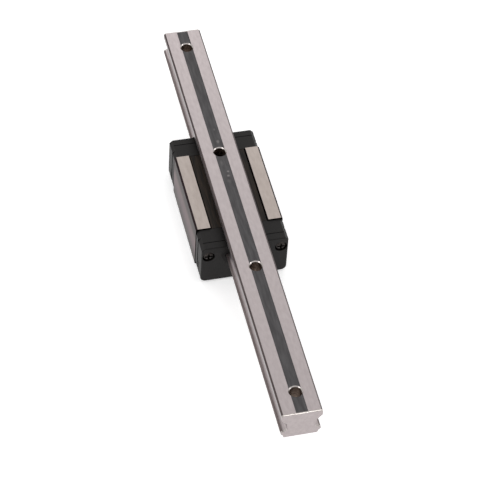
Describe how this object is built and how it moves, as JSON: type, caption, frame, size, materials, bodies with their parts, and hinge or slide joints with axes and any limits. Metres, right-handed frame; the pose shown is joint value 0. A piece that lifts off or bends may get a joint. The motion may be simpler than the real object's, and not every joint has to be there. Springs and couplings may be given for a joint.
{
  "type": "linear guide rail with carriage",
  "caption": "Profiled ball guide: a short ground steel rail with counterbored screw holes and a low narrow recirculating-ball carriage that slides along it, lying with the rail's mounting face up.",
  "frame": {"origin": "midway along the rail and across it, on the carriage's mounting face, which the object stands on", "axes": "+X across the rail, +Y along the rail, +Z from the carriage's mounting face to the rail's mounting face"},
  "size_m": [0.034, 0.2, 0.024],
  "materials": {
    "rail_steel": "ground",
    "block_steel": "ground",
    "black_plastic": "moulded, fine texture",
    "inner_plastic": "moulded",
    "seal_rubber": "moulded rubber",
    "screw_steel": "black oxide",
    "ball_steel": "polished",
    "strip_steel": "rolled"
  },
  "bodies": {
    "rail": {"rail": "rail_steel"},
    "carriage": {"carriage_block": "block_steel", "end_cap_near": "black_plastic", "end_cap_far": "black_plastic", "end_seal_frame_near": "black_plastic", "end_seal_frame_far": "black_plastic", "end_seal_lip_near": "seal_rubber", "end_seal_lip_far": "seal_rubber", "end_screw_near_left": "screw_steel", "end_screw_near_right": "screw_steel", "end_screw_far_left": "screw_steel", "end_screw_far_right": "screw_steel", "return_guide_near_left": "inner_plastic", "return_guide_near_right": "inner_plastic", "return_guide_far_left": "inner_plastic", "return_guide_far_right": "inner_plastic", "upper_retainer": "inner_plastic", "side_retainer_left": "strip_steel", "side_retainer_right": "strip_steel", "bottom_seal_left": "black_plastic", "bottom_seal_right": "black_plastic", "balls_upper_left": "ball_steel", "balls_upper_right": "ball_steel", "balls_lower_left": "ball_steel", "balls_lower_right": "ball_steel", "lubrication_plug": "screw_steel"}
  },
  "joints": [
    {"name": "carriage_slide", "type": "slide", "parent": "rail", "child": "carriage", "axis": [0, 1, 0], "range_m": [-0.0856, 0.0556]}
  ]
}
